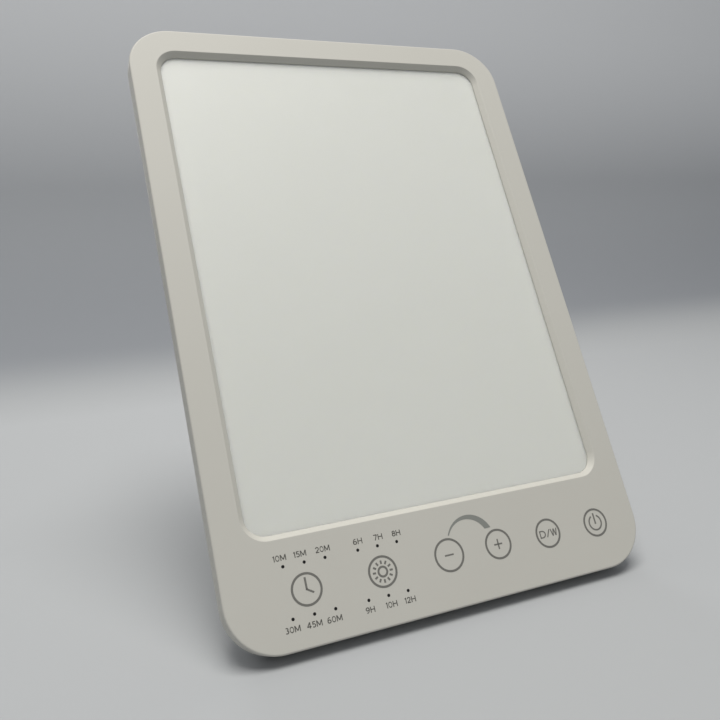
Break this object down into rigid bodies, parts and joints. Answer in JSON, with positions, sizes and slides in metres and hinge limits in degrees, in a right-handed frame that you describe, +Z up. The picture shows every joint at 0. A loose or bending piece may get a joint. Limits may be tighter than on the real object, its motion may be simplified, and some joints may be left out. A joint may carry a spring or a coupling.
{
  "type": "light therapy lamp",
  "caption": "Tablet-shaped bright light therapy lamp: edge-lit opal panel, strip of printed touch keys and timer dots, and a fold-out leg behind.",
  "frame": {"origin": "on the surface the lamp stands on, at the middle of its bounding box's footprint", "axes": "+Z up, the lit face towards -Y and leaning back 30.8 degrees towards +Y, +X to the right of someone facing the lamp"},
  "size_m": [0.164, 0.1298, 0.2068],
  "materials": {
    "casing_plastic": "fine matt moulded ABS, warm off-white",
    "opal_sheet": "opal diffuser with a fine pebbled face",
    "prism_film": "clear polyester film with fine prisms",
    "clear_acrylic": "polished clear acrylic",
    "white_film": "white polyester reflector",
    "tray_aluminium": "bare rolled sheet",
    "white_strip_board": "white solder mask on a thin board",
    "lamp_package": "white LED packages under yellow phosphor",
    "green_board": "green solder mask on glass-epoxy",
    "component_black": "black moulded component bodies",
    "black_foam": "soft black closed-cell foam",
    "key_foam": "grey conductive foam",
    "black_plastic": "black moulded nylon",
    "contact_brass": "tin-plated brass",
    "red_lead": "red PVC insulation",
    "black_lead": "black PVC insulation",
    "white_lead": "white PVC insulation",
    "screw_steel": "zinc-plated steel",
    "smoked_acrylic": "dark tinted acrylic",
    "pad_rubber": "soft grey rubber",
    "key_print": "warm grey pad printing ink"
  },
  "bodies": {
    "lamp": {"front_bezel": "casing_plastic", "rear_cover": "casing_plastic", "diffuser_sheet": "opal_sheet", "prism_film": "prism_film", "light_guide": "clear_acrylic", "reflector_sheet": "white_film", "back_tray": "tray_aluminium", "led_board_left": "white_strip_board", "led_board_right": "white_strip_board", "leds_left": "lamp_package", "leds_right": "lamp_package", "foam_bars": "black_foam", "control_board": "green_board", "board_components": "component_black", "indicator_leds": "lamp_package", "light_baffles": "black_plastic", "light_pipes": "smoked_acrylic", "touch_pads": "key_foam", "dc_jack": "black_plastic", "dc_jack_pin": "contact_brass", "dc_lead_red": "red_lead", "dc_lead_black": "black_lead", "led_lead_left": "white_lead", "led_lead_right": "white_lead", "case_screws": "screw_steel", "board_screws": "screw_steel", "hinge_pin": "screw_steel"},
    "leg": {"stand_leg": "casing_plastic", "foot_pad": "pad_rubber"}
  },
  "joints": [
    {"name": "stand_fold", "type": "hinge", "parent": "lamp", "child": "leg", "pos_m": [0, 0.01264, 0.11167], "axis": [-1, 0, 0], "range_deg": [0, 53.7]}
  ]
}
